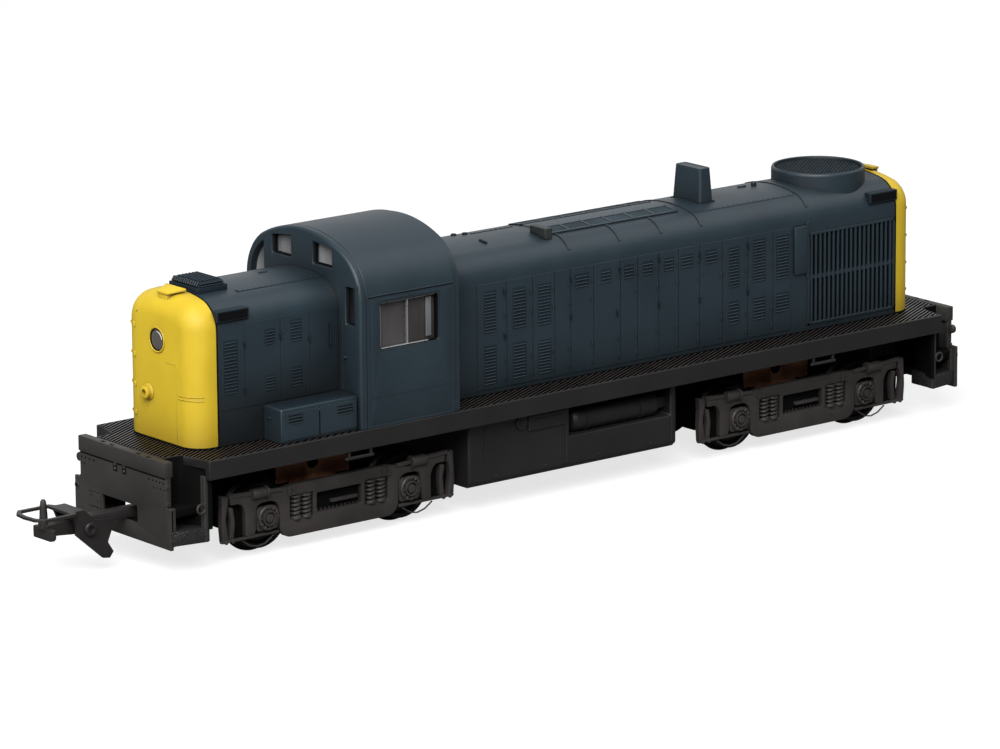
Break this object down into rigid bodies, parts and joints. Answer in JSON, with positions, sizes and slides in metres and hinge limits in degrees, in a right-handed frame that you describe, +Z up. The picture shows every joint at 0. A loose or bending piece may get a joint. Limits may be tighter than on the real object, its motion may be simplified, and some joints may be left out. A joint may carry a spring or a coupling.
{
  "type": "model diesel locomotive",
  "caption": "HO scale model of a high-hood road-switcher diesel: rounded hoods, arched cab, fan shroud, swivelling trucks, turning wheels and a swinging hook coupler.",
  "frame": {"origin": "floor under the wheel flanges, at mid-length and mid-width", "axes": "+X towards the short hood and coupler, +Y to the left side, +Z up"},
  "size_m": [0.1976, 0.0328, 0.0521],
  "materials": {
    "body_blue": "satin blue-grey paint",
    "nose_yellow": "satin yellow paint",
    "frame_black": "moulded black",
    "board_black": "matte black",
    "clear": "clear plastic",
    "bronze": "phosphor bronze sheet",
    "wheel_metal": "dark nickel",
    "motor_metal": "plain"
  },
  "bodies": {
    "locomotive": {"deck": "frame_black", "pilot_front": "frame_black", "pilot_rear": "frame_black", "coupler_pocket_front": "frame_black", "coupler_pocket_rear": "frame_black", "nose_front": "nose_yellow", "nose_rear": "nose_yellow", "porthole_lens_front": "clear", "porthole_lens_rear": "clear", "number_boards_front": "board_black", "number_boards_rear": "board_black", "short_hood": "body_blue", "long_hood": "body_blue", "fan_shroud": "body_blue", "fan_guard": "body_blue", "exhaust_stack": "body_blue", "vent_box": "body_blue", "roof_screens": "body_blue", "horn_box": "body_blue", "cab_wall_front": "body_blue", "cab_wall_rear": "body_blue", "cab_side_left": "body_blue", "cab_side_right": "body_blue", "cab_roof": "body_blue", "cab_glazing_front": "clear", "cab_glazing_rear": "clear", "side_glazing_left": "clear", "side_glazing_right": "clear", "radiator_grille_left": "body_blue", "radiator_grille_right": "body_blue", "engine_doors_left": "body_blue", "engine_doors_right": "body_blue", "battery_locker_left": "body_blue", "battery_locker_right": "body_blue", "fuel_tank": "frame_black", "air_tanks": "frame_black", "motor_block": "motor_metal"},
    "truck_front": {"truck_gearbox_front": "frame_black", "contact_plates_front": "bronze", "truck_frame_front_left": "frame_black", "truck_frame_front_right": "frame_black"},
    "wheels_front_lead": {"wheelset_front_lead": "wheel_metal"},
    "wheels_front_trail": {"wheelset_front_trail": "wheel_metal"},
    "truck_rear": {"truck_gearbox_rear": "frame_black", "contact_plates_rear": "bronze", "truck_frame_rear_left": "frame_black", "truck_frame_rear_right": "frame_black"},
    "wheels_rear_lead": {"wheelset_rear_lead": "wheel_metal"},
    "wheels_rear_trail": {"wheelset_rear_trail": "wheel_metal"},
    "coupler": {"coupler_body": "frame_black"},
    "loop": {"coupler_loop": "frame_black"}
  },
  "joints": [
    {"name": "truck_front_swivel", "type": "hinge", "parent": "locomotive", "child": "truck_front", "pos_m": [0.04263, 0, 0.0168], "axis": [0, 0, 1], "range_deg": [-7, 7]},
    {"name": "wheels_front_lead_spin", "type": "hinge", "parent": "truck_front", "child": "wheels_front_lead", "pos_m": [0.05772, 0, 0.0066], "axis": [0, 1, 0], "continuous": true},
    {"name": "wheels_front_trail_spin", "type": "hinge", "parent": "truck_front", "child": "wheels_front_trail", "pos_m": [0.02753, 0, 0.0066], "axis": [0, 1, 0], "continuous": true},
    {"name": "truck_rear_swivel", "type": "hinge", "parent": "locomotive", "child": "truck_rear", "pos_m": [-0.06237, 0, 0.0168], "axis": [0, 0, 1], "range_deg": [-7, 7]},
    {"name": "wheels_rear_lead_spin", "type": "hinge", "parent": "truck_rear", "child": "wheels_rear_lead", "pos_m": [-0.04727, 0, 0.0066], "axis": [0, 1, 0], "continuous": true},
    {"name": "wheels_rear_trail_spin", "type": "hinge", "parent": "truck_rear", "child": "wheels_rear_trail", "pos_m": [-0.07748, 0, 0.0066], "axis": [0, 1, 0], "continuous": true},
    {"name": "coupler_swing", "type": "hinge", "parent": "locomotive", "child": "coupler", "pos_m": [0.07013, 0, 0.0088], "axis": [0, 0, 1], "range_deg": [-15, 15]},
    {"name": "loop_lift", "type": "hinge", "parent": "coupler", "child": "loop", "pos_m": [0.08762, 0, 0.008], "axis": [0, -1, 0], "range_deg": [0, 20]}
  ]
}
